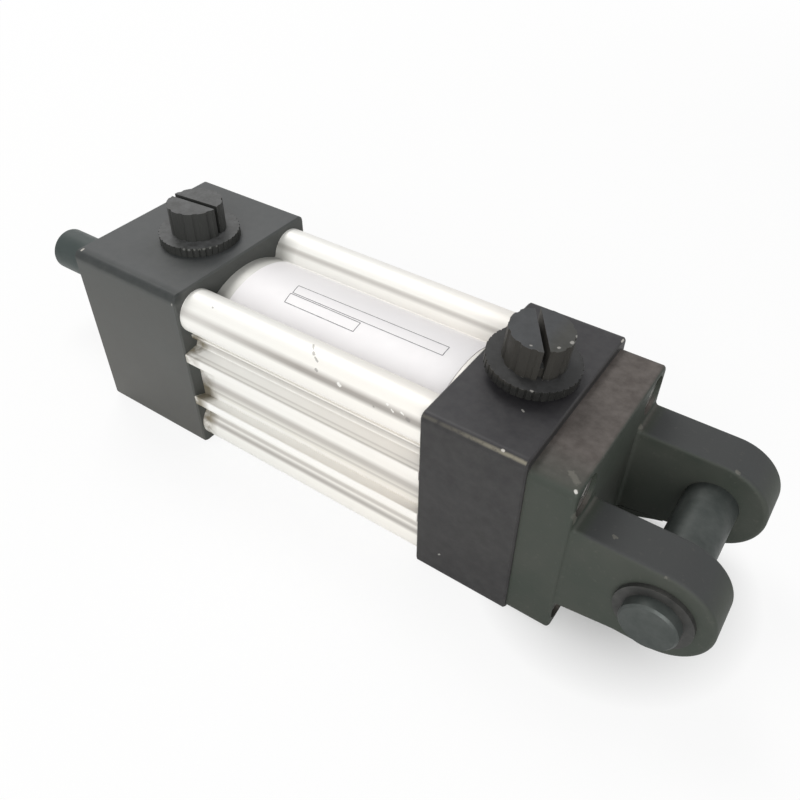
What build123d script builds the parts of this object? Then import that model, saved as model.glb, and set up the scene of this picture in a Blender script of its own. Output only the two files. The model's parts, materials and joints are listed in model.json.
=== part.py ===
from build123d import *
from math import acos, atan2, cos, hypot, radians, sin, sqrt
import os

os.makedirs("parts", exist_ok=True)

# All sizes are in millimetres. The origin is the middle of the rear pivot pin.
# +X runs along the bore to the rod end, +Z is the side with the ports, and +Y is the front.

# Bore, stroke and rod
bore_d = 38.1
stroke = 38.1
rod_d = 15.875
running_gap = 0.05
seat_gap = 0.05
end_gap = 0.25

# Head and cap blocks, measured from the tie rods that they hold
tie_from_bore = 7.113
tie_from_side = 6.9
tie_from_top = 8.5
tie_from_bottom = 6.0
block_edge_r = 1.9
block_end_break = 0.4
head_length = 38.1
cap_length = 25.4
spigot_length = 5.0
o_ring_d = 1.78
o_ring_squeeze = 0.15
o_ring_flat = 1.1
o_ring_bulge = 2.06
o_ring_groove_width = 2.3
head_cavity_d = 23.0
cap_cavity_d = 20.0
cap_cavity_depth = 22.0

# Ports and their plugs
port_d = 14.68
port_depth = 13.0
port_passage_d = 9.0
port_countersink = 0.7
head_port_from_tube = 15.5
cap_port_from_tube = 13.0
plug_flange_d = 22.0
plug_flange_thick = 2.5
plug_flange_teeth = 40
plug_tooth = 0.45
plug_grip_d = 14.8
plug_grip_height = 8.1
plug_flutes = 12
plug_flute_r = 1.25
plug_flute_centre_out = 0.9
plug_slot_width = 1.35
plug_slot_depth = 5.6
plug_stem_length = 9.5
plug_stem_bore_d = 8.0
plug_stem_gap = 0.10
head_plug_stand = 0.05
cap_plug_stand = 2.0
head_plug_slot_angle = 5.0
cap_plug_slot_angle = 125.2
cap_plug_lean = 6.0

# Barrel extrusion
tube_wall = 4.0
boss_d = 12.0
boss_rise = 0.7
notch_fillet = 0.5
rail_outer = 8.8
rail_root_outer = 9.7
slot_half_mouth = 5.85
slot_half_floor = 7.6
slot_depth = 3.8
rail_edge_r = 0.3
lip_from_boss = 6.3
lip_thick = 0.9
lip_inset = 3.4

# Tie rods and their socket nuts
tie_rod_d = 6.35
tie_hole_d = 6.8
tie_nut_d = 9.525
tie_nut_length = 6.35
tie_nut_pocket_d = 9.9
tie_nut_pocket_depth = 7.4
tie_nut_hex = 4.76
tie_nut_hex_depth = 3.2

# Clevis bracket and pivot pin
pivot_to_plate = 20.6
plate_thick = 11.0
plate_corner_r = 2.6
plate_edge_r = 0.8
plate_pocket_mouth = 2.0
ear_gap = 23.8
ear_inset = 0.8
ear_half_height = 12.5
ear_heel = 2.0
ear_heel_from = 7.0
ear_edge_r = 1.1
ear_root_r = 1.0
pin_d = 12.7
pin_end_stand = 4.2
pin_chamfer = 0.5
ring_d = 17.2
ring_thick = 1.1
ring_groove_depth = 0.45
ring_mouth = 7.0

# Piston
piston_length = 25.4
piston_land = 1.45
seal_groove_width = 4.4
seal_groove_depth = 3.3
seal_notch_width = 1.6
seal_notch_depth = 2.4
seal_lip_bevel = 0.5
magnet_width = 3.0
magnet_groove_depth = 4.0
magnet_cover = 1.35
band_groove_depth = 0.8
band_split = 1.6
piston_nut_recess_depth = 7.0
piston_nut_clearance = 0.4

# Piston rod
thread_d = 11.11
thread_length = 19.05
shoulder_from_head = 24.4
thread_relief_d = 9.3
thread_relief_length = 1.6
rod_chamfer = 0.8
flats_across = 12.7
flats_length = 9.5
flats_from_shoulder = 1.6
nut_hex = 17.4
nut_length = 6.3

# Rod gland
pilot_wall = 6.35
pilot_length = 9.5
gland_flange_step = 2.2
gland_flange_length = 9.8
gland_ring_thick = 1.5
gland_ring_bite = 1.0
gland_neck_depth = 0.5
pilot_relief = 0.5
gland_ring_mouth = 9.0
rod_seal_width = 4.4
rod_seal_groove_depth = 3.0
rod_seal_inset = 2.0
wiper_width = 3.2
wiper_groove_depth = 2.5
wiper_lip_back = 1.2
wiper_heel = 1.0
wiper_edge = 0.6
gland_bevel = 0.6

# Thread protector on the rod end
protector_d = 13.3
protector_wall = 1.0
protector_bevel = 1.0

# Name label
label_thick = 0.15
label_notch_margin = 0.15
label_head_margin = 4.8
label_cap_margin = 3.0

# Sizes across the cylinder, worked out from the bore and the tie rods round it
bore_r = bore_d / 2
tie_spacing = sqrt(2) * (bore_r + tie_from_bore)
block_width = tie_spacing + 2 * tie_from_side
block_above = tie_spacing / 2 + tie_from_top
block_below = tie_spacing / 2 + tie_from_bottom
block_mid_z = (block_above - block_below) / 2
plate_size = tie_spacing + 2 * tie_from_bottom
ear_outer = plate_size / 2 - ear_inset
ear_thick = ear_outer - ear_gap / 2
rail_face = block_width / 2
slot_floor = rail_face - slot_depth
lip_reach = rail_face - lip_inset

# Stations along the cylinder
tube_length = stroke + piston_length + 2 * end_gap + 2 * spigot_length
cap_x0 = pivot_to_plate + plate_thick
cap_x1 = cap_x0 + cap_length
head_x0 = cap_x1 + tube_length
head_x1 = head_x0 + head_length
cap_port_x = cap_x1 - cap_port_from_tube
head_port_x = head_x0 + head_port_from_tube
piston_x0 = cap_x1 + spigot_length + end_gap
piston_x1 = piston_x0 + piston_length
shoulder_x = head_x1 + shoulder_from_head
thread_x1 = shoulder_x + thread_length
gland_ring_x1 = head_x1 - 2 * gland_ring_thick
gland_ring_x0 = gland_ring_x1 - gland_ring_thick
gland_x1 = gland_ring_x0 - seat_gap
gland_x0 = gland_x1 - gland_flange_length
pilot_x0 = head_x1 + pilot_relief
pilot_x1 = head_x1 + pilot_length

# Radii used by more than one piece
rod_r = rod_d / 2
tube_r = bore_r + tube_wall
tube_mid_r = bore_r + tube_wall / 2
spigot_r = bore_r - running_gap
boss_r = boss_d / 2
pin_r = pin_d / 2
tenon_r = thread_d / 2
o_ring_depth = o_ring_d - o_ring_squeeze - running_gap
piston_r = bore_r - running_gap
pilot_d = rod_d + 2 * pilot_wall
gland_seat_r = pilot_d / 2 + gland_flange_step
gland_r = gland_seat_r - running_gap
gland_ring_r = gland_seat_r + gland_ring_bite
gland_neck_r = pilot_d / 2 - gland_neck_depth
BOTTOM = (Align.CENTER, Align.CENTER, Align.MIN)
CORNERS = [(y * tie_spacing / 2, z * tie_spacing / 2) for y in (-1, 1) for z in (-1, 1)]


def cross(x):
    """The plane across the bore at station x, with its own axes along Y and Z."""
    return Plane(origin=(x, 0, 0), x_dir=(0, 1, 0), z_dir=(1, 0, 0))


def along(section, x0, x1):
    """A section across the bore, carried from station x0 to station x1."""
    return extrude(cross(x0) * section, amount=x1 - x0)


def turned(outline):
    """A solid of revolution about X from a list of (station, radius) corners."""
    face = make_face(Polyline(*outline, close=True))
    return revolve(Plane.XZ * face, Axis.X, 360)


def shaft(x0, x1, r):
    """A plain round bar about X."""
    return along(Circle(r), x0, x1)


def collar(x0, x1, inner_r, outer_r):
    """A plain ring about X."""
    return along(Circle(outer_r) - Circle(inner_r), x0, x1)


def at_corners(maker):
    """One copy of what maker gives at each of the four tie rod places."""
    return [Pos(0, y, z) * maker for y, z in CORNERS]


def save(name, *solids):
    """Writes one named piece, or a group of equal ones, to its own file."""
    piece = solids[0] if len(solids) == 1 else Compound(children=list(solids))
    piece.label = name
    export_step(piece, f"parts/{name}.step")


def block(x0, x1):
    """A head or cap block: long edges rounded, end edges lightly broken."""
    height = block_above + block_below
    section = RectangleRounded(block_width, height, block_edge_r)
    solid = along(Pos(0, block_mid_z) * section, x0, x1)
    ends = solid.faces().sort_by(Axis.X)
    return chamfer(ends[0].edges() + ends[-1].edges(), block_end_break)


def port(x):
    """The tool that cuts a port at station x, down to the cavity round the axis."""
    floor_z = block_above - port_depth
    hole = Pos(x, 0, floor_z) * Cylinder(port_d / 2, port_depth, align=BOTTOM)
    mouth_r = port_d / 2 + port_countersink
    mouth = Pos(x, 0, block_above - port_countersink) * Cone(
        port_d / 2, mouth_r, port_countersink, align=BOTTOM
    )
    passage = Pos(x, 0, 0) * Cylinder(port_passage_d / 2, floor_z, align=BOTTOM)
    return hole + mouth + passage


def spigot(face_x, way):
    """The round nose of a block that enters the tube, with its O-ring groove."""
    end_x = face_x + way * spigot_length
    nose = shaft(min(face_x, end_x), max(face_x, end_x), spigot_r)
    tip = nose.faces().sort_by(Axis.X)[-1 if way > 0 else 0]
    nose = chamfer(tip.edges(), block_end_break)
    return nose - collar(*o_ring_groove(face_x, way), spigot_r - o_ring_depth, bore_r)


def o_ring_groove(face_x, way):
    """The two stations of a spigot's O-ring groove."""
    middle = face_x + way * spigot_length / 2
    half = o_ring_groove_width / 2
    return middle - half, middle + half


def o_ring(x, outer_r):
    """A seal ring squeezed in its groove: flat inside and outside, with bulging sides."""
    inner_r = outer_r - (o_ring_d - o_ring_squeeze)
    middle_r = (inner_r + outer_r) / 2
    flat = o_ring_flat / 2
    bulge = o_ring_bulge / 2
    outline = [
        (x - flat, inner_r),
        (x + flat, inner_r),
        (x + bulge, middle_r),
        (x + flat, outer_r),
        (x - flat, outer_r),
        (x - bulge, middle_r),
    ]
    return turned(outline)


def lip_seal(x0, x1, inner_r, outer_r, opens):
    """A U-section seal: two lips with a notch between them on the side that opens names."""
    middle_r = (inner_r + outer_r) / 2
    back, front = (x0, x1) if opens > 0 else (x1, x0)
    bevel_x = front - opens * seal_lip_bevel
    outline = [
        (back, inner_r),
        (bevel_x, inner_r),
        (front, inner_r + seal_lip_bevel),
        (front, middle_r - seal_notch_width / 2),
        (front - opens * seal_notch_depth, middle_r),
        (front, middle_r + seal_notch_width / 2),
        (front, outer_r - seal_lip_bevel),
        (bevel_x, outer_r),
        (back, outer_r),
    ]
    return turned(outline)


# The head: rod-end block with a port, the gland's seat and sunk tie rod nuts
def head():
    solid = block(head_x0, head_x1) + spigot(head_x0, -1)
    solid -= shaft(head_x0 - spigot_length, gland_x0, head_cavity_d / 2)
    solid -= shaft(gland_x0 - seat_gap, head_x1, gland_seat_r)
    solid -= shaft(gland_ring_x0, gland_ring_x1, gland_ring_r)
    solid -= port(head_port_x)
    for y, z in CORNERS:
        hole = Pos(y, z) * Circle(tie_hole_d / 2)
        pocket = Pos(y, z) * Circle(tie_nut_pocket_d / 2)
        solid -= along(hole, head_x0, head_x1)
        solid -= along(pocket, head_x1 - tie_nut_pocket_depth, head_x1)
    return solid


# The cap: rear block with a port that opens into the tube
def cap():
    solid = block(cap_x0, cap_x1) + spigot(cap_x1, 1)
    cavity_x1 = cap_x1 + spigot_length
    solid -= shaft(cavity_x1 - cap_cavity_depth, cavity_x1, cap_cavity_d / 2)
    solid -= port(cap_port_x)
    for y, z in CORNERS:
        solid -= along(Pos(y, z) * Circle(tie_hole_d / 2), cap_x0, cap_x1)
    return solid


# The barrel: one extruded section with the tube, four bosses and two sensor tracks
def track_land(side):
    """The raised land of one sensor track, rooted inside the tube's wall."""
    root = sqrt(tube_mid_r**2 - rail_root_outer**2)
    corners = [
        (rail_face, -rail_outer),
        (rail_face, rail_outer),
        (root, rail_root_outer),
        (root, -rail_root_outer),
    ]
    return make_face(Polyline(*[(side * y, z) for y, z in corners], close=True))


def track_slot(side):
    """The dovetail slot between a land's two rails, down to its flat floor."""
    corners = [
        (rail_face, -slot_half_mouth),
        (rail_face, slot_half_mouth),
        (slot_floor, slot_half_floor),
        (slot_floor, -slot_half_floor),
    ]
    return make_face(Polyline(*[(side * y, z) for y, z in corners], close=True))


def boss_lip(y, z):
    """The thin lip that stands beside a boss, on the side of the sensor track."""
    side = 1 if y > 0 else -1
    lip_z = z - lip_from_boss if z > 0 else z + lip_from_boss
    root = sqrt(tube_mid_r**2 - lip_z**2)
    return Pos(side * (root + lip_reach) / 2, lip_z) * Rectangle(lip_reach - root, lip_thick)


def barrel_section():
    """The extrusion's section across the bore. Its bosses stand a little above the tie rods."""
    bosses = [(y, z + boss_rise) for y, z in CORNERS]
    section = Sketch() + Circle(tube_r)
    for y, z in bosses:
        section += Pos(y, z) * Circle(boss_r)
    notches = [v for v in section.vertices() if abs(hypot(v.X, v.Y) - tube_r) < 0.01]
    section = fillet(notches, notch_fillet)
    for y, z in bosses:
        section += boss_lip(y, z)
    for side in (-1, 1):
        section += track_land(side)
        section -= track_slot(side)
    tips = [v for v in section.vertices() if abs(abs(v.X) - rail_face) < 0.01]
    return fillet(tips, rail_edge_r)


def barrel():
    section = barrel_section() - Circle(bore_r)
    for y, z in CORNERS:
        section -= Pos(y, z) * Circle(tie_hole_d / 2)
    return along(section, cap_x1, head_x0)


# Tie rods run from inside the clevis nuts to inside the head nuts
clevis_nut_seat = pivot_to_plate + tie_nut_pocket_depth
head_nut_seat = head_x1 - tie_nut_pocket_depth
tie_rod_entry = tie_nut_length - tie_nut_hex_depth - seat_gap


def tie_rods():
    x0 = clevis_nut_seat - tie_rod_entry
    x1 = head_nut_seat + tie_rod_entry
    return at_corners(shaft(x0, x1, tie_rod_d / 2))


def tie_nuts(seat_x, way):
    """Round socket nuts: seated at seat_x, with the hex socket facing along way."""
    end_x = seat_x + way * tie_nut_length
    nut = shaft(min(seat_x, end_x), max(seat_x, end_x), tie_nut_d / 2)
    socket_x = end_x - way * tie_nut_hex_depth
    hexagon = RegularPolygon(tie_nut_hex / 2, 6, major_radius=False)
    nut -= along(hexagon, min(socket_x, end_x), max(socket_x, end_x))
    thread = Circle(tie_rod_d / 2 + running_gap)
    nut -= along(thread, min(seat_x, socket_x), max(seat_x, socket_x))
    return at_corners(nut)


# The clevis bracket: a cast plate with two rounded ears
def clevis_bracket():
    plate = along(RectangleRounded(plate_size, plate_size, plate_corner_r), pivot_to_plate, cap_x0)
    outer_face = plate.faces().sort_by(Axis.X)[0]
    solid = fillet(outer_face.edges(), plate_edge_r)
    reach = pivot_to_plate + plate_thick / 2
    heel = ear_half_height + ear_heel
    ear_sides = [
        (0, ear_half_height),
        (reach, ear_half_height),
        (reach, -heel),
        (pivot_to_plate, -heel),
        (ear_heel_from, -ear_half_height),
        (0, -ear_half_height),
    ]
    for side in (-1, 1):
        outline = Circle(ear_half_height)
        outline += make_face(Polyline(*ear_sides, close=True))
        middle = side * (ear_gap + ear_thick) / 2
        flat = Plane(origin=(0, middle, 0), x_dir=(1, 0, 0), z_dir=(0, -1, 0))
        lug = extrude(flat * outline, amount=ear_thick / 2, both=True)
        broad = lug.faces().sort_by(Axis.Y)
        rim = [e for e in broad[0].edges() + broad[-1].edges() if e.center().X < reach - 0.1]
        solid += fillet(rim, ear_edge_r)
    near, far = pivot_to_plate - 0.01, pivot_to_plate + 0.01
    at_plate = solid.edges().filter_by_position(Axis.X, near, far)
    inside = plate_size / 2 - plate_edge_r
    heel_side = heel + 0.01
    roots = [e for e in at_plate if abs(e.center().Y) < inside and abs(e.center().Z) < heel_side]
    solid = fillet(roots, ear_root_r)
    hole = Plane.XZ * Circle(pin_r + running_gap)
    solid -= extrude(hole, amount=plate_size, both=True)
    for y, z in CORNERS:
        solid -= along(Pos(y, z) * Circle(tie_hole_d / 2), pivot_to_plate, cap_x0)
        pocket = Pos(y, z) * Circle(tie_nut_pocket_d / 2)
        solid -= along(pocket, pivot_to_plate - plate_pocket_mouth, clevis_nut_seat)
    return solid


# The pivot pin and its two retaining rings, turned about X and then laid along Y
ring_inner_x = ear_outer + seat_gap
ring_outer_x = ring_inner_x + ring_thick


def pivot_pin():
    end = ear_outer + pin_end_stand
    groove_r = pin_r - ring_groove_depth
    half = [
        (ring_inner_x - seat_gap / 2, pin_r),
        (ring_inner_x - seat_gap / 2, groove_r),
        (ring_outer_x + seat_gap / 2, groove_r),
        (ring_outer_x + seat_gap / 2, pin_r),
        (end - pin_chamfer, pin_r),
        (end, pin_r - pin_chamfer),
        (end, 0),
    ]
    other_half = [(-x, r) for x, r in reversed(half)]
    return Rot(0, 0, 90) * turned([*other_half, *half])


def pin_rings():
    inner_r = pin_r - ring_groove_depth + running_gap
    ring = collar(ring_inner_x, ring_outer_x, inner_r, ring_d / 2)
    mouth = Pos(0, -ring_d / 2) * Rectangle(ring_mouth, ring_d)
    ring -= along(mouth, ring_inner_x, ring_outer_x)
    ring = Rot(0, 0, 90) * ring
    return [ring, mirror(ring, Plane.XZ)]


# A port plug: serrated flange, fluted grip with a screwdriver slot, hollow stem. The
# soft head can lean towards the clevis on its stem by some degrees.
def port_plug(x, stand, slot_angle, lean=0.0):
    base_z = block_above + stand
    flange = Sketch() + Circle(plug_flange_d / 2)
    for i in range(plug_flange_teeth):
        nick = Pos(plug_flange_d / 2, 0) * Rot(0, 0, 45) * Rectangle(plug_tooth, plug_tooth)
        flange -= Rot(0, 0, 360 * i / plug_flange_teeth) * nick
    grip = Sketch() + Circle(plug_grip_d / 2)
    for i in range(plug_flutes):
        hollow = Pos(plug_grip_d / 2 + plug_flute_centre_out, 0) * Circle(plug_flute_r)
        grip -= Rot(0, 0, 360 * (i + 0.5) / plug_flutes) * hollow
    grip -= Rot(0, 0, slot_angle) * Rectangle(plug_grip_d * 2, plug_slot_width)
    stem_r = port_d / 2 - plug_stem_gap
    stem = extrude(Circle(stem_r) - Circle(plug_stem_bore_d / 2), amount=-plug_stem_length)
    core_height = plug_grip_height - plug_slot_depth
    full_grip = extrude(Pos(0, 0, plug_flange_thick) * grip, amount=plug_grip_height)
    core = Sketch() + Circle(plug_grip_d / 2 - plug_flute_r)
    full_grip += extrude(Pos(0, 0, plug_flange_thick) * core, amount=core_height)
    stem += extrude(Circle(stem_r), amount=plug_flange_thick / 2)
    head = extrude(flange, amount=plug_flange_thick) + full_grip
    return Pos(x, 0, base_z) * (Rot(0, -lean, 0) * head + stem)


# The rod with its tenon through the piston, wrench flats and end thread
tenon_x0 = piston_x0 + (piston_nut_recess_depth - nut_length) / 2
nut_seat_x = piston_x0 + piston_nut_recess_depth
nut_corner_r = nut_hex / 2 / cos(radians(30))


def piston_rod():
    relief_x = shoulder_x + thread_relief_length
    outline = [
        (tenon_x0, 0),
        (tenon_x0, tenon_r - rod_chamfer),
        (tenon_x0 + rod_chamfer, tenon_r),
        (piston_x1, tenon_r),
        (piston_x1, rod_r),
        (shoulder_x - rod_chamfer, rod_r),
        (shoulder_x, rod_r - rod_chamfer),
        (shoulder_x, thread_relief_d / 2),
        (relief_x, thread_relief_d / 2),
        (relief_x + (thread_d - thread_relief_d) / 2, tenon_r),
        (thread_x1 - rod_chamfer, tenon_r),
        (thread_x1, tenon_r - rod_chamfer),
        (thread_x1, 0),
    ]
    solid = turned(outline)
    flat_x1 = shoulder_x - flats_from_shoulder
    for side in (-1, 1):
        waste = Pos(side * (flats_across / 2 + rod_r), 0) * Rectangle(2 * rod_r, 2 * rod_d)
        solid -= along(waste, flat_x1 - flats_length, flat_x1)
    return solid


def piston_nut():
    x0 = nut_seat_x - nut_length
    flat_r = nut_hex / 2
    hexagon = RegularPolygon(flat_r, 6, major_radius=False)
    nut = along(hexagon - Circle(tenon_r + running_gap), x0, nut_seat_x)
    bevel = nut_corner_r - flat_r
    envelope = [
        (x0, 0),
        (x0, flat_r),
        (x0 + bevel, nut_corner_r),
        (nut_seat_x, nut_corner_r),
        (nut_seat_x, 0),
    ]
    return nut & turned(envelope)


# The piston: lands and grooves in order from the cap side to the rod side
band_width = piston_length - 2 * seal_groove_width - magnet_width - 5 * piston_land
seal_a_x0 = piston_x0 + piston_land
magnet_x0 = seal_a_x0 + seal_groove_width + piston_land
band_x0 = magnet_x0 + magnet_width + piston_land
seal_b_x0 = piston_x1 - piston_land - seal_groove_width
piston_o_ring_x = (nut_seat_x + piston_x1) / 2
piston_o_ring_r = tenon_r + running_gap + o_ring_depth


def piston():
    recess_r = nut_corner_r + piston_nut_clearance
    solid = collar(piston_x0, piston_x1, tenon_r + running_gap, piston_r)
    solid -= shaft(piston_x0, nut_seat_x, recess_r)
    rims = solid.edges().filter_by(GeomType.CIRCLE).filter_by(lambda e: e.radius > recess_r + 0.01)
    solid = chamfer(rims, block_end_break)
    grooves = [
        (seal_a_x0, seal_groove_width, seal_groove_depth),
        (magnet_x0, magnet_width, magnet_groove_depth),
        (band_x0, band_width, band_groove_depth),
        (seal_b_x0, seal_groove_width, seal_groove_depth),
    ]
    for x, width, depth in grooves:
        solid -= collar(x, x + width, piston_r - depth, bore_d)
    half = o_ring_groove_width / 2
    solid -= shaft(piston_o_ring_x - half, piston_o_ring_x + half, piston_o_ring_r)
    return solid


def groove_room(x0, width, depth):
    """The room for a ring in a piston groove: its two stations and inner radius."""
    return x0 + running_gap, x0 + width - running_gap, piston_r - depth + running_gap


def piston_seal(x0, opens):
    a, b, inner_r = groove_room(x0, seal_groove_width, seal_groove_depth)
    return lip_seal(a, b, inner_r, piston_r, opens)


def magnet_ring():
    a, b, inner_r = groove_room(magnet_x0, magnet_width, magnet_groove_depth)
    return collar(a, b, inner_r, piston_r - magnet_cover)


def wear_band():
    a, b, inner_r = groove_room(band_x0, band_width, band_groove_depth)
    band = collar(a, b, inner_r, piston_r)
    split = Pos(0, -bore_r) * Rectangle(band_split, bore_r)
    return band - along(split, piston_x0, piston_x1)


# The gland: bronze bearing, sealed and wiped, held in the head by a ring
rod_seal_x0 = gland_x0 + rod_seal_inset
wiper_x0 = pilot_x1 - wiper_width


def rod_gland():
    outline = [
        (gland_x0, rod_r + running_gap),
        (gland_x0, gland_r - gland_bevel),
        (gland_x0 + gland_bevel, gland_r),
        (gland_x1, gland_r),
        (gland_x1, gland_neck_r),
        (pilot_x0, gland_neck_r),
        (pilot_x0, pilot_d / 2),
        (pilot_x1 - gland_bevel, pilot_d / 2),
        (pilot_x1, pilot_d / 2 - gland_bevel),
        (pilot_x1, rod_r + running_gap),
    ]
    solid = turned(outline)
    solid -= shaft(rod_seal_x0, rod_seal_x0 + rod_seal_width, rod_r + rod_seal_groove_depth)
    solid -= shaft(wiper_x0, pilot_x1, rod_r + wiper_groove_depth)
    groove_x = (gland_x0 + gland_x1) / 2
    half = o_ring_groove_width / 2
    solid -= collar(groove_x - half, groove_x + half, gland_r - o_ring_depth, gland_seat_r)
    return solid


def gland_retaining_ring():
    x0 = gland_ring_x0 + running_gap
    x1 = gland_ring_x1 - running_gap
    ring = collar(x0, x1, pilot_d / 2 + running_gap, gland_ring_r - running_gap)
    mouth = Pos(0, -gland_ring_r) * Rectangle(gland_ring_mouth, gland_ring_r)
    return ring - along(mouth, gland_ring_x0, gland_ring_x1)


def rod_seal():
    x0 = rod_seal_x0 + running_gap
    x1 = rod_seal_x0 + rod_seal_width - running_gap
    outer_r = rod_r + rod_seal_groove_depth - running_gap
    return lip_seal(x0, x1, rod_r + running_gap, outer_r, -1)


def rod_wiper():
    inner_r = rod_r + running_gap
    outer_r = rod_r + wiper_groove_depth - running_gap
    x0 = wiper_x0 + running_gap
    lip_x = pilot_x1 - seat_gap
    outline = [
        (x0, inner_r + wiper_heel),
        (x0, outer_r),
        (lip_x - wiper_edge, outer_r),
        (lip_x, inner_r),
        (lip_x - wiper_lip_back, inner_r),
    ]
    return turned(outline)


# The protector is a soft closed sleeve over the rod's end thread
def rod_end_protector():
    x0 = shoulder_x + seat_gap
    x1 = thread_x1 + seat_gap + protector_wall
    shell = shaft(x0, x1, protector_d / 2)
    tip = shell.faces().sort_by(Axis.X)[-1]
    shell = chamfer(tip.edges(), protector_bevel)
    return shell - shaft(x0, x1 - protector_wall, tenon_r + running_gap)


# The label is bonded to the top of the tube, from notch to notch
def notch_angle():
    """The angle from +Z at which the tube's round gives way to the fillet beside a boss."""
    boss_y, boss_z = tie_spacing / 2, tie_spacing / 2 + boss_rise
    reach = hypot(boss_y, boss_z)
    centre_r = tube_r + notch_fillet
    touch_r = boss_r + notch_fillet
    spread = acos((reach**2 + centre_r**2 - touch_r**2) / (2 * reach * centre_r))
    return atan2(boss_y, boss_z) - spread


def name_label():
    inner_r = tube_r + running_gap / 2
    ring = Circle(inner_r + label_thick) - Circle(inner_r)
    angle = notch_angle() - label_notch_margin / tube_r
    reach = 2 * tube_r
    side_y, side_z = reach * sin(angle), reach * cos(angle)
    wedge = make_face(Polyline((0, 0), (side_y, side_z), (-side_y, side_z), close=True))
    return along(ring & wedge, cap_x1 + label_cap_margin, head_x0 - label_head_margin)


save("head", head())
save("cap", cap())
save("barrel", barrel())
save("tie_rods", *tie_rods())
save("tie_nuts_head", *tie_nuts(head_nut_seat, 1))
save("tie_nuts_clevis", *tie_nuts(clevis_nut_seat, -1))
save("clevis_bracket", clevis_bracket())
save("pivot_pin", pivot_pin())
save("pin_rings", *pin_rings())
save("head_port_plug", port_plug(head_port_x, head_plug_stand, head_plug_slot_angle))
cap_plug = port_plug(cap_port_x, cap_plug_stand, cap_plug_slot_angle, cap_plug_lean)
save("cap_port_plug", cap_plug)
save("piston_rod", piston_rod())
save("piston", piston())
save("piston_nut", piston_nut())
save("piston_o_ring", o_ring(piston_o_ring_x, piston_o_ring_r))
save("piston_seal_rod_side", piston_seal(seal_b_x0, 1))
save("piston_seal_cap_side", piston_seal(seal_a_x0, -1))
save("wear_band", wear_band())
save("magnet_ring", magnet_ring())
save("rod_gland", rod_gland())
save("gland_retaining_ring", gland_retaining_ring())
save("gland_o_ring", o_ring((gland_x0 + gland_x1) / 2, gland_seat_r))
save("rod_seal", rod_seal())
save("rod_wiper", rod_wiper())
save("head_o_ring", o_ring(head_x0 - spigot_length / 2, bore_r))
save("cap_o_ring", o_ring(cap_x1 + spigot_length / 2, bore_r))
save("rod_end_protector", rod_end_protector())
save("name_label", name_label())
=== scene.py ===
import json
import math

import bmesh
import bpy
from mathutils import Matrix, Vector

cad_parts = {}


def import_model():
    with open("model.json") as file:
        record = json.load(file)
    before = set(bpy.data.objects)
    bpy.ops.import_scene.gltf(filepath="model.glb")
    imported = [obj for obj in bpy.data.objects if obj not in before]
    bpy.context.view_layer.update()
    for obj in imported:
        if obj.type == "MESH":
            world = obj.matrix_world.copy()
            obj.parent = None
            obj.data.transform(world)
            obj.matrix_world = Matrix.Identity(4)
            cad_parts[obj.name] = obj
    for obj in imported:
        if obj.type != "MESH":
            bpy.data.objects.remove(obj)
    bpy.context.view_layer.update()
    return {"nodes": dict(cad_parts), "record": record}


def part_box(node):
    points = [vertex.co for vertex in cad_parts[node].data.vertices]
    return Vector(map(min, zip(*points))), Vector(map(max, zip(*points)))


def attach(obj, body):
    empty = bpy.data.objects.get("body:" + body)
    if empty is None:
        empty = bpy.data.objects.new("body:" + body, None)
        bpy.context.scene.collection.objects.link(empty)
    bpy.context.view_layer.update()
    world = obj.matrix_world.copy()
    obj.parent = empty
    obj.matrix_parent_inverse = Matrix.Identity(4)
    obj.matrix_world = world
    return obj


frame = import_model()
MM = 0.001

# The camera that took the photograph, found from the object's own edges and sizes.
# The picture is 800 by 800, and FOCAL_PX is the focal length in its pixels.
PICTURE_PX = 800
FOCAL_PX = 787.14
CAMERA_PLACE = (-7.19 * MM, 127.56 * MM, 140.62 * MM)
CAMERA_RIGHT = (-0.82486, -0.56531, 0.0054)
CAMERA_UP = (0.38371, -0.55281, 0.7397)
SENSOR_MM = 36.0

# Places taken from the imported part, in metres
HEAD_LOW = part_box("head")[0]
CAP_LOW, CAP_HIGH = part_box("cap")
BRACKET_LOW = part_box("clevis_bracket")[0]
FLOOR_Z = min(BRACKET_LOW.z, CAP_LOW.z)
LABEL_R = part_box("name_label")[1].z

# The two plain ruled frames printed on the label. Each corner is a station along X in
# millimetres and an angle in degrees from the top towards the front.
UPPER_FRAME = ((112.5, -2.4), (66.1, -3.7), (65.9, 5.0), (111.8, 5.6))
LOWER_FRAME = ((112.1, 6.8), (89.5, 6.8), (89.4, 14.9), (111.5, 14.9))
RULE_WIDTH = 0.22 * MM
RULE_LIFT = 0.02 * MM
RULE_STEP = 1.0 * MM

# Cast fillets under the ears: the outline in X and Z, which of its points are the underside,
# how far the outer end's underside is raised, and each one's reach in Y, in millimetres
HEEL_OUTLINE = ((8.6, -12.0), (8.6, -12.45), (10.8, -13.2), (13.0, -14.1), (16.5, -15.5),
                (20.58, -16.7), (20.58, -14.2), (16.0, -13.3))
HEEL_UNDERSIDE = range(1, 6)
HEEL_RAISE = 0.35
HEEL_RAISED_FROM = 15.0
HEELS = {"cast_heel_front": (11.95, 17.5), "cast_heel_back": (-17.5, -11.95)}

# Stretch along X over which finishes change from the cap's tone to the head's; on the blocks the
# head's paler tone is partly its own and partly a painted fall-off of light
HEAD_FADE = (0.09, 0.13)

# Darkest and palest tones of the two blocks and the casting
CAP_DARK, CAP_PALE = (0.023, 0.022, 0.023), (0.030, 0.029, 0.029)
HEAD_DARK, HEAD_PALE = (0.060, 0.065, 0.062), (0.074, 0.076, 0.072)
CAST_DARK, CAST_PALE = (0.040, 0.048, 0.039), (0.053, 0.058, 0.049)

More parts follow.
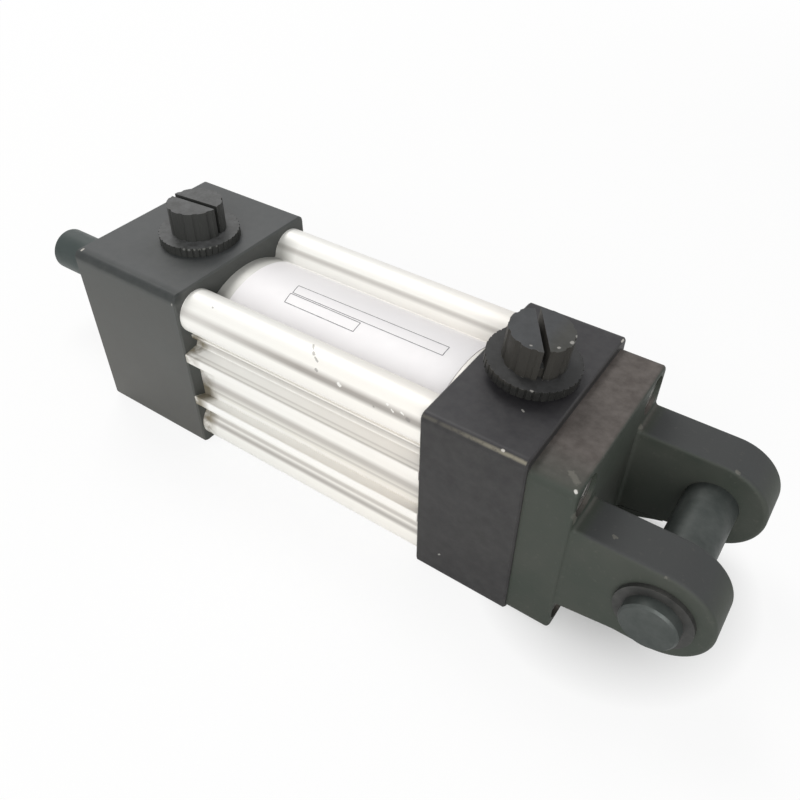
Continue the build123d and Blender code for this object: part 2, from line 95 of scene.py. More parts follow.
# How much of the floor's own shading is left out where the camera sees it, and where, by
# distance from the point under the clevis, that share and the rest of it set in
FLOOR_WHITE = 0.87
FLOOR_SIZE = 6.0
FLOOR_MIDDLE_X = 0.08
CLEVIS_FROM_MIDDLE = 0.066
NEAR_FADE = (0.012, 0.036)
FAR_FADE = (0.30, 0.60)

# Strength of the surround's light on the object
WORLD_LIGHT = 0.40

# Stations that the plugs' threads turn about and their pitch, in metres, then the start, end
# and pitch of the rod's thread, in millimetres
CAP_TURN_X = CAP_HIGH[0] - 13.0 * MM
HEAD_TURN_X = HEAD_LOW[0] + 15.5 * MM
PORT_PITCH = 0.94 * MM
ROD_THREAD = (195.4, 212.2, 1.27)


class Graph:
    """A material's node tree, with short calls for the nodes that the materials share."""

    def __init__(self, name, colour, roughness, metallic=0.0, specular=0.5):
        self.material = bpy.data.materials.new(name)
        self.material.use_nodes = True
        self.tree = self.material.node_tree
        self.shader = self.tree.nodes["Principled BSDF"]
        self.shader.inputs["Base Color"].default_value = (*colour, 1.0)
        self.shader.inputs["Roughness"].default_value = roughness
        self.shader.inputs["Metallic"].default_value = metallic
        self.shader.inputs["Specular IOR Level"].default_value = specular
        self.place = self.node("ShaderNodeTexCoord").outputs["Object"]
        self.x, self.y, self.z = self.split(self.place)
        facing = self.node("ShaderNodeTexCoord").outputs["Normal"]
        self.nx, self.ny, self.nz = self.split(facing)

    def node(self, kind, **settings):
        made = self.tree.nodes.new(kind)
        for key, value in settings.items():
            setattr(made, key, value)
        return made

    def link(self, source, target):
        self.tree.links.new(source, target)

    def fill(self, socket, value):
        """Links a socket to another, or gives it a plain value."""
        if hasattr(value, "links"):
            self.link(value, socket)
        else:
            socket.default_value = value

    def split(self, vector):
        made = self.node("ShaderNodeSeparateXYZ")
        self.link(vector, made.inputs["Vector"])
        return made.outputs["X"], made.outputs["Y"], made.outputs["Z"]

    def vector(self, operation, a, b=None, out="Vector"):
        made = self.node("ShaderNodeVectorMath", operation=operation)
        self.fill(made.inputs[0], a)
        if b is not None:
            self.fill(made.inputs[1], b)
        return made.outputs[out]

    def scaled(self, factors):
        return self.vector("MULTIPLY", self.place, factors)

    def noise(self, scale, detail=3.0, roughness=0.6, vector=None):
        """A noise whose grains are about 1 / scale metres across."""
        made = self.node("ShaderNodeTexNoise")
        self.link(vector or self.place, made.inputs["Vector"])
        made.inputs["Scale"].default_value = scale
        made.inputs["Detail"].default_value = detail
        made.inputs["Roughness"].default_value = roughness
        return made.outputs["Fac"]

    def ramp(self, value, low, high, out_low=0.0, out_high=1.0):
        made = self.node("ShaderNodeMapRange")
        made.clamp = True
        self.link(value, made.inputs["Value"])
        made.inputs["From Min"].default_value = low
        made.inputs["From Max"].default_value = high
        made.inputs["To Min"].default_value = out_low
        made.inputs["To Max"].default_value = out_high
        return made.outputs["Result"]

    def math(self, operation, a, b=0.0):
        made = self.node("ShaderNodeMath", operation=operation)
        self.fill(made.inputs[0], a)
        self.fill(made.inputs[1], b)
        return made.outputs["Value"]

    def times(self, *factors):
        made = factors[0]
        for factor in factors[1:]:
            made = self.math("MULTIPLY", made, factor)
        return made

    def hump(self, value, centre, half, soft):
        """1 within half of the centre, fading to 0 over the soft width on each side."""
        off = self.math("ABSOLUTE", self.math("SUBTRACT", value, centre))
        return self.ramp(off, half, half + soft, 1.0, 0.0)

    def mix(self, factor, a, b):
        made = self.node("ShaderNodeMix", data_type="RGBA")
        self.fill(made.inputs["Factor"], factor)
        for socket, value in ((made.inputs["A"], a), (made.inputs["B"], b)):
            self.fill(socket, value if hasattr(value, "links") else (*value, 1.0))
        return made.outputs["Result"]

    def edges(self, reach, sharp=0.55):
        """1 on convex edges, 0 on open faces, from the angle between bevelled and true normals."""
        bevel = self.node("ShaderNodeBevel", samples=6)
        bevel.inputs["Radius"].default_value = reach
        true = self.node("ShaderNodeNewGeometry")
        dot = self.vector("DOT_PRODUCT", bevel.outputs["Normal"], true.outputs["Normal"], "Value")
        return self.ramp(dot, 0.995, sharp)

    def strokes(self, marks, ragged=0.0):
        """A mask of small marks, each a stroke from one point to another, in millimetres."""
        made = None
        place = self.place
        if ragged:
            wobble = self.node("ShaderNodeTexNoise")
            self.link(self.place, wobble.inputs["Vector"])
            wobble.inputs["Scale"].default_value = 1100.0
            shift = self.vector("SUBTRACT", wobble.outputs["Color"], (0.5, 0.5, 0.5))
            place = self.vector("ADD", place, self.vector("MULTIPLY", shift, (ragged * MM,) * 3))
        for start, end, width in marks:
            a, b = Vector(start) * MM, Vector(end) * MM
            run = b - a
            from_a = self.vector("SUBTRACT", place, a)
            far = self.vector("LENGTH", from_a, out="Value")
            if run.length > 0:
                along = self.vector("DOT_PRODUCT", from_a, run / run.length_squared, "Value")
                along = self.ramp(along, 0.0, 1.0)
                spread = self.node("ShaderNodeCombineXYZ")
                for axis in range(3):
                    self.link(along, spread.inputs[axis])
                foot = self.vector("MULTIPLY", spread.outputs["Vector"], run)
                far = self.vector("LENGTH", self.vector("SUBTRACT", from_a, foot), out="Value")
            mark = self.ramp(far, width * MM * 0.35, width * MM * 0.65, 1.0, 0.0)
            made = mark if made is None else self.math("MAXIMUM", made, mark)
        return made

    def bump(self, height, strength, distance):
        made = self.node("ShaderNodeBump")
        made.inputs["Strength"].default_value = strength
        made.inputs["Distance"].default_value = distance
        self.link(height, made.inputs["Height"])
        self.link(made.outputs["Normal"], self.shader.inputs["Normal"])

    def colour(self, source):
        self.link(source, self.shader.inputs["Base Color"])

    def roughness(self, source):
        self.link(source, self.shader.inputs["Roughness"])


def black_anodised():
    """Satin black anodising, a little paler on the head, partly its own tone and partly a painted
    fall-off of light; painted shade on the tops, along the head's front top edge and in the head
    plug's shadow, and painted light low on the head's front: fine grain and a few worn edges.
    """
    g = Graph("black_anodised", (0.05, 0.05, 0.052), 0.46, specular=0.30)
    cloud = g.noise(55.0, 4.0)
    patch = g.ramp(cloud, 0.32, 0.68)
    # Painted light: the head's tones are paler than the cap's, partly their own and partly a
    # painted fall-off of light.
    near_head = g.ramp(g.x, *HEAD_FADE)
    cap_tone = g.mix(patch, CAP_DARK, CAP_PALE)
    head_tone = g.mix(patch, HEAD_DARK, HEAD_PALE)
    # Painted light: the head's front faces are paler and warmer towards their bottom.
    low = g.times(g.ramp(g.z, 0.024, -0.024), g.ramp(g.ny, 0.5, 0.9))
    head_tone = g.mix(g.math("MULTIPLY", low, 0.9), head_tone, (0.096, 0.095, 0.088))
    # Painted shade: upward faces of the head and cap take darker, bluer tones than their sides.
    upward = g.ramp(g.nz, 0.6, 0.9)
    shaded_head_top = g.mix(patch, (0.044, 0.048, 0.050), (0.056, 0.059, 0.060))
    shaded_cap_top = g.mix(patch, (0.019, 0.018, 0.021), (0.025, 0.024, 0.027))
    head_tone = g.mix(upward, head_tone, shaded_head_top)
    cap_tone = g.mix(upward, cap_tone, shaded_cap_top)
    base = g.mix(near_head, cap_tone, head_tone)
    # Painted shade: a dark band along the head's rounded front top edge.
    rim = g.times(near_head, g.ramp(g.z, 0.0240, 0.0256), g.ramp(g.y, 0.0218, 0.0232), 0.85)
    base = g.mix(rim, base, (0.018, 0.022, 0.022))
    # Painted shadow of the head's plug, on the head's top in front of the plug.
    plug_shadow = g.times(upward, near_head, g.hump(g.x, 0.1450, 0.0060, 0.0100),
                     g.hump(g.y, 0.0120, 0.0020, 0.0075))
    base = g.mix(g.math("MULTIPLY", plug_shadow, 0.55), base, (0.020, 0.023, 0.022))
    mottle = g.ramp(g.noise(420.0, 3.0), 0.3, 0.7)
    base = g.mix(g.math("MULTIPLY", mottle, 0.15), base, (0.10, 0.10, 0.096))
    corner = g.times(g.ramp(g.ny, 0.45, 0.65), g.ramp(g.nz, 0.45, 0.65), g.ramp(g.x, 0.062, 0.058))
    worn = g.times(corner, g.ramp(g.x, 0.0500, 0.0370, 0.25, 1.0),
                   g.ramp(g.noise(600.0, 3.0), 0.25, 0.5))
    base = g.mix(g.math("MULTIPLY", worn, 0.75), base, (0.26, 0.24, 0.185))
    rubbed = g.times(g.edges(0.35 * MM), g.ramp(g.noise(300.0, 4.0), 0.58, 0.70))
    base = g.mix(g.math("MULTIPLY", rubbed, 0.30), base, (0.30, 0.29, 0.27))
    nicks = g.strokes((
        ((167.5, 23.7, 26.9), (167.7, 22.9, 27.0), 0.60),
        ((168.2, -9.4, 27.0), (168.9, -8.6, 26.8), 0.45),
        ((37.4, 24.5, 26.7), (37.7, 24.5, 26.7), 0.60),
        ((31.7, -23.4, 26.8), (31.8, -22.4, 26.8), 0.50),
    ), 0.3)
    base = g.mix(nicks, base, (0.50, 0.48, 0.44))
    faint = g.strokes((
        ((131.6, 25.2, 25.0), (131.9, 25.3, 24.4), 0.45),
        ((50.1, 25.4, -16.3), (50.4, 25.4, -16.6), 0.45),
        ((39.9, 12.0, 27.0), (39.4, 12.3, 27.0), 0.40),
        ((146.2, 24.2, 26.5), (145.9, 24.2, 26.5), 0.45),
    ), 0.3)
    base = g.mix(g.math("MULTIPLY", faint, 0.6), base, (0.45, 0.44, 0.41))
    g.colour(base)
    g.roughness(g.ramp(cloud, 0.3, 0.7, 0.42, 0.54))
    g.bump(g.noise(2600.0, 2.0), 0.10, 0.04 * MM)
    return g.material


def clear_anodised():
    """Clear-anodised extrusion: pale satin metal, with long grey streaks of painted reflection and
    shade in its hollows, painted shade by the head and painted light on shaded rail faces.
    """
    g = Graph("clear_anodised", (0.86, 0.85, 0.82), 0.42, 0.12, 0.35)
    lines = g.noise(1.0, 3.0, 0.55, g.scaled((3.0, 900.0, 900.0)))
    broad = g.noise(1.0, 2.0, 0.5, g.scaled((4.0, 130.0, 130.0)))
    base = g.mix(g.ramp(broad, 0.35, 0.65), (0.865, 0.855, 0.815), (0.90, 0.893, 0.865))
    base = g.mix(g.math("MULTIPLY", g.ramp(lines, 0.45, 0.75), 0.10), base, (0.62, 0.60, 0.56))
    side = g.math("ABSOLUTE", g.y)
    to_cap = g.ramp(g.x, 0.124, 0.092, 0.5, 1.0)
    outer = g.ramp(side, 0.0216, 0.0219)
    inner = g.ramp(side, 0.0219, 0.0216)
    grey = None
    # Each painted streak of reflection and shade: the axis it lies across, then its middle, half
    # width and soft edge in millimetres, its strength, and where it shows
    for along, centre, half, soft, strength, gate in (
        (g.z, 21.9, 0.30, 1.15, 0.95, g.times(outer, to_cap)),
        (g.z, 12.6, 0.20, 0.35, 0.75, outer),
        (g.z, 10.6, 0.30, 1.10, 0.55, inner),
        (side, 23.8, 0.08, 0.30, 0.32, g.hump(g.z, 0.0090, 0.0004, 0.0002)),
        (side, 25.0, 0.08, 0.32, 0.50, g.hump(g.z, 0.0090, 0.0004, 0.0002)),
        (g.z, -2.3, 0.50, 1.80, 0.66, inner),
        (g.z, -4.8, 0.20, 0.60, 0.45, inner),
        (g.z, -13.6, 0.15, 0.40, 0.60, outer),
        (g.z, -14.95, 0.20, 0.75, 0.80, outer),
        (g.z, 22.9, 0.15, 0.80, 0.60, g.hump(g.y, -0.0137, 0.0005, 0.0003)),
    ):
        painted_streak = g.times(g.hump(along, centre * MM, half * MM, soft * MM), gate, strength)
        grey = painted_streak if grey is None else g.math("MAXIMUM", grey, painted_streak)
    # Painted light: shaded faces of the rails are lifted towards white.
    painted_lift = g.math("MAXIMUM", g.hump(g.z, -0.0071, 0.0008, 0.0003),
                    g.times(g.hump(g.z, 0.0092, 0.0003, 0.0002), g.ramp(side, 0.0238, 0.0233)))
    base = g.mix(g.math("MULTIPLY", painted_lift, 0.8), base, (0.97, 0.965, 0.945))
    base = g.mix(g.ramp(g.x, 0.110, 0.065, 0.0, 0.5), base, (0.91, 0.865, 0.805))
    base = g.mix(grey, base, (0.35, 0.325, 0.300))
    # Painted shade on the tube's bare end next to the head.
    shade_by_head = g.times(g.ramp(g.x, 0.1240, 0.1290), g.ramp(side, 0.0170, 0.0140), 0.65)
    base = g.mix(shade_by_head, base, (0.22, 0.22, 0.20))
    # Mottled brownish darkening on the rails and slot next to the head.
    head_join_patches = g.times(g.ramp(g.noise(190.0, 4.0), 0.36, 0.58), g.ramp(g.x, 0.1255, 0.1290))
    head_join_patches = g.times(head_join_patches, g.ramp(side, 0.016, 0.020), g.ramp(g.z, 0.0165, 0.0125))
    base = g.mix(g.math("MULTIPLY", head_join_patches, 0.85), base, (0.16, 0.13, 0.07))
    dark = g.strokes((
        ((91.7, 18.2, 25.2), (90.8, 19.4, 25.0), 0.50),
        ((90.2, 20.1, 24.9), (89.6, 20.6, 24.8), 0.65),
        ((89.0, 21.1, 24.6), (87.8, 21.7, 24.3), 0.45),
        ((63.2, 14.8, 23.8), (63.9, 14.2, 23.6), 0.55),
        ((122.1, 20.6, 24.8), (122.4, 20.5, 24.8), 0.40),
        ((87.4, 23.0, 23.1), (86.8, 23.2, 22.9), 0.50),
        ((61.4, 23.8, 22.0), (60.7, 23.9, 21.8), 0.70),
        ((70.2, 24.1, 21.2), (70.0, 24.1, 21.2), 0.40),
    ), 0.35)
    base = g.mix(g.math("MULTIPLY", dark, 0.62), base, (0.22, 0.21, 0.20))
    pale = g.strokes((
        ((80.4, 23.5, 22.5), (79.8, 23.7, 22.2), 0.70),
        ((67.1, 23.2, 22.9), (66.8, 23.3, 22.8), 0.45),
        ((65.6, 23.6, 22.4), (65.0, 23.8, 22.1), 0.35),
        ((63.2, 23.4, 22.7), (62.4, 23.7, 22.4), 0.45),
    ), 0.5)
    base = g.mix(g.math("MULTIPLY", pale, 0.8), base, (0.92, 0.91, 0.88))
    g.colour(base)
    g.roughness(g.ramp(lines, 0.3, 0.7, 0.38, 0.48))
    g.bump(lines, 0.04, 0.02 * MM)
    return g.material


def cast_black():
    """Cast iron under worn black paint: a pitted skin, brownish on the plate's top."""
    g = Graph("cast_black", (0.035, 0.034, 0.032), 0.55, specular=0.25)
    cloud = g.noise(70.0, 5.0)
    skin = g.noise(700.0, 5.0, 0.65)
    base = g.mix(g.ramp(cloud, 0.35, 0.65), CAST_DARK, CAST_PALE)
    top = g.times(g.ramp(g.nz, 0.55, 0.9), g.ramp(g.x, 0.019, 0.0215))
    top = g.math("MULTIPLY", top, g.ramp(g.y, 0.024, 0.014, 0.25, 1.0))
    stain = g.ramp(g.noise(330.0, 4.0), 0.35, 0.65)
    brown = g.mix(stain, (0.078, 0.067, 0.061), (0.118, 0.104, 0.096))
    base = g.mix(top, base, brown)
    ear_top = g.times(g.ramp(g.nz, 0.5, 0.85), g.ramp(g.x, 0.019, 0.017), 0.7)
    base = g.mix(ear_top, base, (0.047, 0.048, 0.052))
    thin = g.ramp(skin, 0.60, 0.78)
    base = g.mix(g.math("MULTIPLY", thin, 0.20), base, (0.16, 0.145, 0.13))
    wear = g.times(g.edges(0.6 * MM), g.ramp(g.noise(210.0, 4.0), 0.50, 0.66))
    base = g.mix(g.math("MULTIPLY", wear, 0.4), base, (0.17, 0.155, 0.135))
    patches = g.strokes((
        ((24.2, 20.3, 24.5), (22.2, 21.9, 24.4), 1.3),
        ((20.7, 23.3, 17.4), (20.7, 22.6, 14.6), 2.0),
        ((20.5, -12.4, 13.0), (20.2, -13.2, 12.9), 1.2),
        ((12.9, 20.1, 12.5), (12.3, 20.4, 12.5), 0.7),
        ((0.6, 23.4, 12.1), (0.2, 23.4, 12.1), 0.6),
        ((-2.8, -12.4, 12.0), (-2.5, -12.4, 12.1), 0.8),
    ), 1.3)
    base = g.mix(g.math("MULTIPLY", patches, 0.6), base, (0.155, 0.15, 0.13))
    bare = g.strokes((
        ((21.6, 23.6, 23.9), (21.4, 23.7, 23.7), 0.62),
    ), 0.3)
    base = g.mix(bare, base, (0.56, 0.55, 0.52))
    g.colour(base)
    g.roughness(g.ramp(cloud, 0.3, 0.7, 0.50, 0.66))
    g.bump(skin, 0.35, 0.10 * MM)
    return g.material


def black_plastic():
    """Moulded black plastic: dark sides, chalky mottled tops, pale specks on the rims, painted
    shade on the cap plug's flange and in the thread grooves.
    """
    g = Graph("black_plastic", (0.025, 0.026, 0.026), 0.50, specular=0.25)
    near_head = g.ramp(g.x, *HEAD_FADE)
    # Painted shade: the cap plug's flange sides are darker, where the cap's shadow falls.
    shaded_cap_sides = g.mix(g.ramp(g.z, 0.0306, 0.0316), (0.017, 0.017, 0.016), (0.036, 0.034, 0.030))
    sides = g.mix(near_head, shaded_cap_sides, (0.034, 0.035, 0.033))
    upward = g.ramp(g.nz, 0.6, 0.92)
    blotch = g.ramp(g.noise(300.0, 5.0, 0.72), 0.38, 0.64)
    chalk = g.mix(blotch, (0.052, 0.053, 0.052), (0.125, 0.127, 0.129))
    cap_chalk = g.mix(g.ramp(g.x, 0.0385, 0.0415), (0.040, 0.040, 0.034), (0.047, 0.051, 0.057))
    cap_chalk = g.mix(g.ramp(g.z, 0.0330, 0.0340), (0.018, 0.018, 0.019), cap_chalk)
    chalk = g.mix(near_head, g.mix(0.3, cap_chalk, chalk), chalk)
    base = g.mix(g.math("MULTIPLY", upward, 0.85), sides, chalk)
    wear = g.times(g.edges(0.22 * MM), g.ramp(g.noise(800.0, 3.0), 0.55, 0.66))
    base = g.mix(g.math("MULTIPLY", wear, 0.5), base, (0.30, 0.29, 0.27))
    specks = g.strokes((
        ((142.2, 10.1, 29.3), (142.0, 10.0, 29.3), 0.55),
        ((141.0, 9.5, 29.3), (140.8, 9.4, 29.3), 0.60),
        ((139.9, 8.7, 29.3), (139.7, 8.6, 29.3), 0.55),
        ((138.9, 7.8, 29.3), (138.7, 7.6, 29.3), 0.60),
        ((138.0, 6.9, 29.3), (137.8, 6.6, 29.3), 0.60),
        ((137.0, 5.5, 29.3), (136.9, 5.2, 29.3), 0.55),
        ((136.2, 3.9, 29.3), (136.1, 3.6, 29.3), 0.50),
        ((35.8, -3.2, 38.8), (36.0, -2.9, 38.8), 0.80),
        ((36.1, -0.5, 38.8), (36.1, -0.2, 38.8), 0.80),
        ((37.5, 2.9, 39.0), (37.6, 3.1, 39.0), 0.65),
        ((42.3, 6.2, 39.5), (42.5, 6.3, 39.5), 0.45),
        ((39.5, 9.8, 31.0), (39.1, 9.7, 31.0), 0.50),
    ), 0.25)
    speck_tone = g.mix(near_head, (0.36, 0.35, 0.33), (0.170, 0.172, 0.162))
    base = g.mix(g.math("MULTIPLY", specks, 0.85), base, speck_tone)
    stem = g.ramp(g.z, 0.0269, 0.0267)
    from_axis = g.math("SUBTRACT", g.x, g.ramp(g.x, 0.090, 0.091, CAP_TURN_X, HEAD_TURN_X))
    turn = g.math("DIVIDE", g.math("ARCTAN2", g.y, from_axis), math.tau)
    thread = g.math("PINGPONG", g.math("ADD", g.math("DIVIDE", g.z, PORT_PITCH), turn), 0.5)
    thread = g.times(thread, 2.0, stem)
    # Painted shade in the grooves of the ports' threads.
    base = g.mix(g.times(g.ramp(thread, 0.5, 0.0), stem, 0.6), base, (0.008, 0.008, 0.008))
    g.colour(base)
    g.roughness(g.ramp(blotch, 0.0, 1.0, 0.46, 0.62))
    grain = g.math("MULTIPLY", g.noise(1700.0, 2.0), 0.015)
    g.bump(g.math("ADD", grain, thread), 1.0, 0.5 * MM)
    return g.material


def protector_plastic():
    """Soft black cap with a faint green cast and a little sheen."""
    g = Graph("protector_plastic", (0.030, 0.042, 0.040), 0.42, specular=0.35)
    cloud = g.noise(120.0, 3.0)
    base = g.mix(g.ramp(cloud, 0.3, 0.7), (0.026, 0.038, 0.036), (0.038, 0.050, 0.048))
    base = g.mix(g.math("MULTIPLY", g.ramp(g.nx, 0.6, 0.95), 0.5), base, (0.018, 0.028, 0.027))
    g.colour(base)
    g.roughness(g.ramp(g.noise(300.0), 0.3, 0.7, 0.36, 0.5))
    g.bump(g.noise(900.0, 3.0), 0.08, 0.04 * MM)
    return g.material


def dark_steel(name, light, dark, specular=0.4):
    """Oxide-blacked steel with turning marks and rubbed edges."""
    g = Graph(name, dark, 0.44, 0.35, specular)
    cloud = g.noise(160.0, 4.0)
    base = g.mix(g.ramp(cloud, 0.35, 0.7), dark, light)
    wear = g.times(g.edges(0.3 * MM), g.ramp(g.noise(420.0, 3.0), 0.50, 0.66))
    base = g.mix(g.math("MULTIPLY", wear, 0.3), base, (0.20, 0.20, 0.19))
    g.colour(base)
    g.roughness(g.ramp(g.noise(700.0, 3.0), 0.3, 0.7, 0.38, 0.54))
    g.bump(g.noise(1500.0, 3.0), 0.12, 0.04 * MM)
    return g.material


def bright_metal(name, light, dark, low, high, grain=600.0, thread=None):
    """Bare or plated metal: two close tones, a drifting roughness, and a thread if asked for, with
    painted shade in its roots.
    """
    g = Graph(name, light, low, 1.0)
    cloud = g.noise(90.0, 4.0)
    base = g.mix(g.ramp(cloud, 0.3, 0.7), dark, light)
    rough = g.ramp(g.noise(grain, 3.0), 0.3, 0.7, low, high)
    if thread is None:
        g.bump(g.noise(grain * 2, 2.0), 0.06, 0.03 * MM)
    else:
        start, end, pitch = (v * MM for v in thread)
        stretch = g.hump(g.x, (start + end) / 2, (end - start) / 2, 0.1 * MM)
        turn = g.math("DIVIDE", g.math("ARCTAN2", g.y, g.z), math.tau)
        groove = g.math("PINGPONG", g.math("ADD", g.math("DIVIDE", g.x, pitch), turn), 0.5)
        groove = g.times(groove, 2.0, stretch)
        # Painted shade in the roots of the rod's thread.
        root_shade = g.times(g.ramp(groove, 0.35, 0.0), stretch, 0.7)
        base = g.mix(root_shade, base, (0.16, 0.16, 0.16))
        rough = g.math("ADD", rough, g.math("MULTIPLY", g.ramp(groove, 0.0, 0.1), 0.2))
        g.bump(groove, 0.9, 0.5 * MM)
    g.colour(base)
    g.roughness(rough)
    return g.material


def soft_seal(name, light, dark, roughness):
    """Seal rubber and bearing strip: matt, with a fine mould grain."""
    g = Graph(name, light, roughness)
    g.colour(g.mix(g.ramp(g.noise(300.0, 3.0), 0.3, 0.7), dark, light))
    g.roughness(g.ramp(g.noise(500.0), 0.3, 0.7, roughness - 0.06, roughness + 0.08))
    g.bump(g.noise(1800.0, 2.0), 0.12, 0.04 * MM)
    return g.material


def label_film():
    """Printed film: white with a faint rose cast, slightly soiled along its edges."""
    g = Graph("label_film", (0.88, 0.86, 0.88), 0.42, specular=0.3)
    cloud = g.ramp(g.noise(60.0, 3.0), 0.3, 0.7)
    base = g.mix(cloud, (0.850, 0.832, 0.845), (0.872, 0.856, 0.868))
    rim = g.math("MULTIPLY", g.edges(0.12 * MM, 0.8), g.ramp(g.noise(60.0, 2.0), 0.2, 0.6))
    base = g.mix(g.math("MULTIPLY", rim, 0.5), base, (0.50, 0.49, 0.49))
    g.colour(base)
    g.roughness(g.ramp(g.noise(500.0), 0.3, 0.7, 0.36, 0.48))
    g.bump(g.noise(420.0, 2.0), 0.04, 0.02 * MM)
    return g.material


def label_ink():
    """Thin grey-black print, broken up where it has rubbed."""
    g = Graph("label_ink", (0.10, 0.10, 0.11), 0.5)
    rubbed = g.ramp(g.noise(1300.0, 3.0), 0.45, 0.75)
    g.colour(g.mix(rubbed, (0.09, 0.09, 0.10), (0.34, 0.34, 0.35)))
    g.roughness(g.ramp(g.noise(900.0), 0.3, 0.7, 0.42, 0.6))
    return g.material


MATERIALS = {
    "black_anodised": black_anodised(),
    "clear_anodised": clear_anodised(),
    "cast_black": cast_black(),
    "black_plastic": black_plastic(),
    "protector_plastic": protector_plastic(),
    "pin_steel": dark_steel("pin_steel", (0.078, 0.086, 0.082), (0.044, 0.052, 0.049)),
    "ring_steel": dark_steel("ring_steel", (0.075, 0.074, 0.070), (0.035, 0.036, 0.035)),
    "rod_chrome": bright_metal("rod_chrome", (0.78, 0.79, 0.80), (0.70, 0.71, 0.73), 0.07, 0.14,
                               thread=ROD_THREAD),
    "zinc_steel": bright_metal("zinc_steel", (0.46, 0.45, 0.43), (0.34, 0.33, 0.32), 0.34, 0.50),
    "bronze": bright_metal("bronze", (0.62, 0.44, 0.22), (0.46, 0.31, 0.15), 0.28, 0.44),
    "plain_aluminium": bright_metal("plain_aluminium", (0.72, 0.73, 0.74), (0.60, 0.61, 0.62),
                                    0.26, 0.40),
    "nitrile": soft_seal("nitrile", (0.035, 0.035, 0.037), (0.018, 0.018, 0.019), 0.62),
    "urethane": soft_seal("urethane", (0.22, 0.11, 0.045), (0.15, 0.07, 0.03), 0.45),
    "bearing_plastic": soft_seal("bearing_plastic", (0.30, 0.27, 0.23), (0.22, 0.20, 0.17),
                                 0.55),
    "magnet": soft_seal("magnet", (0.13, 0.12, 0.11), (0.08, 0.075, 0.07), 0.6),
    "label_film": label_film(),
}
INK = label_ink()


def dress_nodes():
    """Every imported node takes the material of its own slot."""
    for row in frame["record"]["subparts"]:
        made = frame["nodes"][row["node"]]
        made.data.materials.clear()
        made.data.materials.append(MATERIALS[row["material_slot"]])


def add_piece(name, mesh, material):
    """Turns a finished mesh into a piece of the scene that rides on the cylinder."""
    data = bpy.data.meshes.new(name)
    mesh.to_mesh(data)
    mesh.free()
    made = bpy.data.objects.new(name, data)
    bpy.context.scene.collection.objects.link(made)
    made.data.materials.append(material)
    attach(made, "cylinder")


def on_label(x, angle):
    """A point just above the label, at station x and this angle from the top to the front."""
    r = LABEL_R + RULE_LIFT
    return Vector((x, r * math.sin(math.radians(angle)), r * math.cos(math.radians(angle))))


def ruled_frame(name, corners):
    """A thin printed frame: a flat ribbon along the sides of a quadrilateral on the label."""
    mesh = bmesh.new()
    half = RULE_WIDTH / 2
    corners = [(x * MM, angle) for x, angle in corners]
    for (x0, a0), (x1, a1) in zip(corners, corners[1:] + corners[:1]):
        start, end = on_label(x0, a0), on_label(x1, a1)
        steps = max(2, int((end - start).length / RULE_STEP))
        rows = []
        for i in range(steps + 1):
            t = i / steps
            point = on_label(x0 + (x1 - x0) * t, a0 + (a1 - a0) * t)
            normal = Vector((0, point.y, point.z)).normalized()
            side = normal.cross(end - start).normalized() * half
            rows.append([mesh.verts.new(point - side), mesh.verts.new(point + side)])
        for a, b in zip(rows, rows[1:]):
            mesh.faces.new((a[0], b[0], b[1], a[1]))
    add_piece(name, mesh, INK)


def label_print():
    """The label's two plain ruled frames, with nothing written in them."""
    ruled_frame("label_frame_upper", UPPER_FRAME)
    ruled_frame("label_frame_lower", LOWER_FRAME)


def cast_heels():
    """Rough cast fillets under the inner half of each ear, where it meets the plate."""
    for name, (y0, y1) in HEELS.items():
        mesh = bmesh.new()
        rings = []
        for y in (y0, (y0 + y1) / 2, y1):
            raised = HEEL_RAISE if abs(y) > HEEL_RAISED_FROM else 0.0
            ring = [(x, y, z + (raised if i in HEEL_UNDERSIDE else 0.0))
                    for i, (x, z) in enumerate(HEEL_OUTLINE)]
            rings.append([mesh.verts.new(Vector(point) * MM) for point in ring])
        for a, b in zip(rings, rings[1:]):
            for i in range(len(a)):
                j = (i + 1) % len(a)
                mesh.faces.new((a[i], a[j], b[j], b[i]))
        mesh.faces.new(rings[0][::-1])
        mesh.faces.new(rings[-1])
        bmesh.ops.recalc_face_normals(mesh, faces=mesh.faces)
        add_piece(name, mesh, MATERIALS["cast_black"])


def floor():
    """The pale floor, which keeps the object's shadow but is white to the camera."""
    place = (FLOOR_MIDDLE_X, 0.0, FLOOR_Z - 0.05 * MM)
    bpy.ops.mesh.primitive_plane_add(size=FLOOR_SIZE, location=place)
    made = bpy.context.object
    made.name = "floor"
    g = Graph("floor", (0.93, 0.93, 0.93), 0.9, specular=0.1)
    g.colour(g.mix(g.ramp(g.noise(3.0), 0.3, 0.7), (0.93, 0.935, 0.935), (0.95, 0.95, 0.95)))
    seen = g.node("ShaderNodeLightPath").outputs["Is Camera Ray"]
    white = g.node("ShaderNodeEmission")
    white.inputs["Strength"].default_value = 1.0
    shown = g.node("ShaderNodeMixShader")
    from_clevis = g.vector("ADD", g.place, (CLEVIS_FROM_MIDDLE, 0.0, 0.0))
    far = g.vector("LENGTH", from_clevis, out="Value")
    near_share = g.ramp(far, *NEAR_FADE, 0.0, FLOOR_WHITE)
    far_share = g.ramp(far, *FAR_FADE, 0.0, 1.0 - FLOOR_WHITE)
    g.link(g.times(seen, g.math("ADD", near_share, far_share)), shown.inputs["Fac"])
    g.link(g.shader.outputs["BSDF"], shown.inputs[1])
    g.link(white.outputs["Emission"], shown.inputs[2])
    output = g.node("ShaderNodeOutputMaterial", is_active_output=True)
    g.link(shown.outputs["Shader"], output.inputs["Surface"])
    made.data.materials.append(g.material)


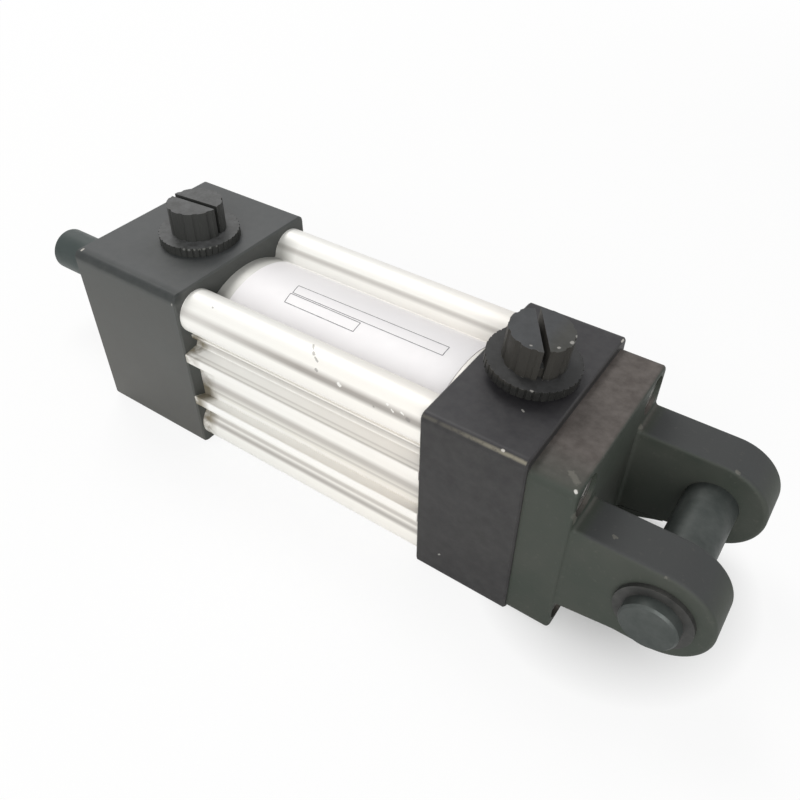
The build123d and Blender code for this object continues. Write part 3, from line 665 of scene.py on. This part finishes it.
def world():
    """Soft surround: white where it is seen or reflected, plainer where it lights."""
    made = bpy.data.worlds.new("studio")
    bpy.context.scene.world = made
    made.use_nodes = True
    tree = made.node_tree
    tree.nodes.clear()
    path = tree.nodes.new("ShaderNodeLightPath")
    seen = tree.nodes.new("ShaderNodeMath")
    seen.operation = "MAXIMUM"
    tree.links.new(path.outputs["Is Camera Ray"], seen.inputs[0])
    tree.links.new(path.outputs["Is Transmission Ray"], seen.inputs[1])
    shown = tree.nodes.new("ShaderNodeMath")
    shown.operation = "MAXIMUM"
    tree.links.new(seen.outputs[0], shown.inputs[0])
    tree.links.new(path.outputs["Is Glossy Ray"], shown.inputs[1])
    strength = tree.nodes.new("ShaderNodeMapRange")
    tree.links.new(shown.outputs[0], strength.inputs["Value"])
    strength.inputs["To Min"].default_value = WORLD_LIGHT
    strength.inputs["To Max"].default_value = 1.0
    back = tree.nodes.new("ShaderNodeBackground")
    back.inputs["Color"].default_value = (1.0, 1.0, 1.0, 1.0)
    tree.links.new(strength.outputs["Result"], back.inputs["Strength"])
    out = tree.nodes.new("ShaderNodeOutputWorld")
    tree.links.new(back.outputs["Background"], out.inputs["Surface"])


def area_light(name, place, target, size, watts, colour):
    """A soft rectangular lamp at place that points at target."""
    data = bpy.data.lights.new(name, "AREA")
    data.shape = "RECTANGLE"
    data.size, data.size_y = size
    data.energy = watts
    data.color = colour
    made = bpy.data.objects.new(name, data)
    made.location = place
    made.rotation_mode = "QUATERNION"
    made.rotation_quaternion = (Vector(target) - Vector(place)).to_track_quat("-Z", "Y")
    bpy.context.scene.collection.objects.link(made)


def lights():
    """A key lamp behind the rod end and a large frontal one, both aimed at the barrel."""
    middle = (0.09, 0.0, 0.0)
    area_light("key", (0.50, -0.25, 0.70), middle, (0.35, 0.35), 3.1, (1.0, 0.99, 0.97))
    area_light("front", (-0.25, 0.75, 0.42), middle, (0.6, 0.6), 5.2, (1.0, 1.0, 0.99))


def camera():
    """The camera at the photograph's viewing angle."""
    data = bpy.data.cameras.new("camera")
    made = bpy.data.objects.new("camera", data)
    bpy.context.scene.collection.objects.link(made)
    right, up = Vector(CAMERA_RIGHT).normalized(), Vector(CAMERA_UP).normalized()
    back = right.cross(up).normalized()
    turn = Matrix((right, up, back)).transposed().to_4x4()
    made.matrix_world = Matrix.Translation(CAMERA_PLACE) @ turn
    data.sensor_width = SENSOR_MM
    data.lens = FOCAL_PX * SENSOR_MM / PICTURE_PX
    data.clip_start = 0.01
    data.clip_end = 20.0
    bpy.context.scene.camera = made


dress_nodes()
label_print()
cast_heels()
floor()
world()
lights()
camera()
bpy.context.scene.view_settings.view_transform = "Standard"
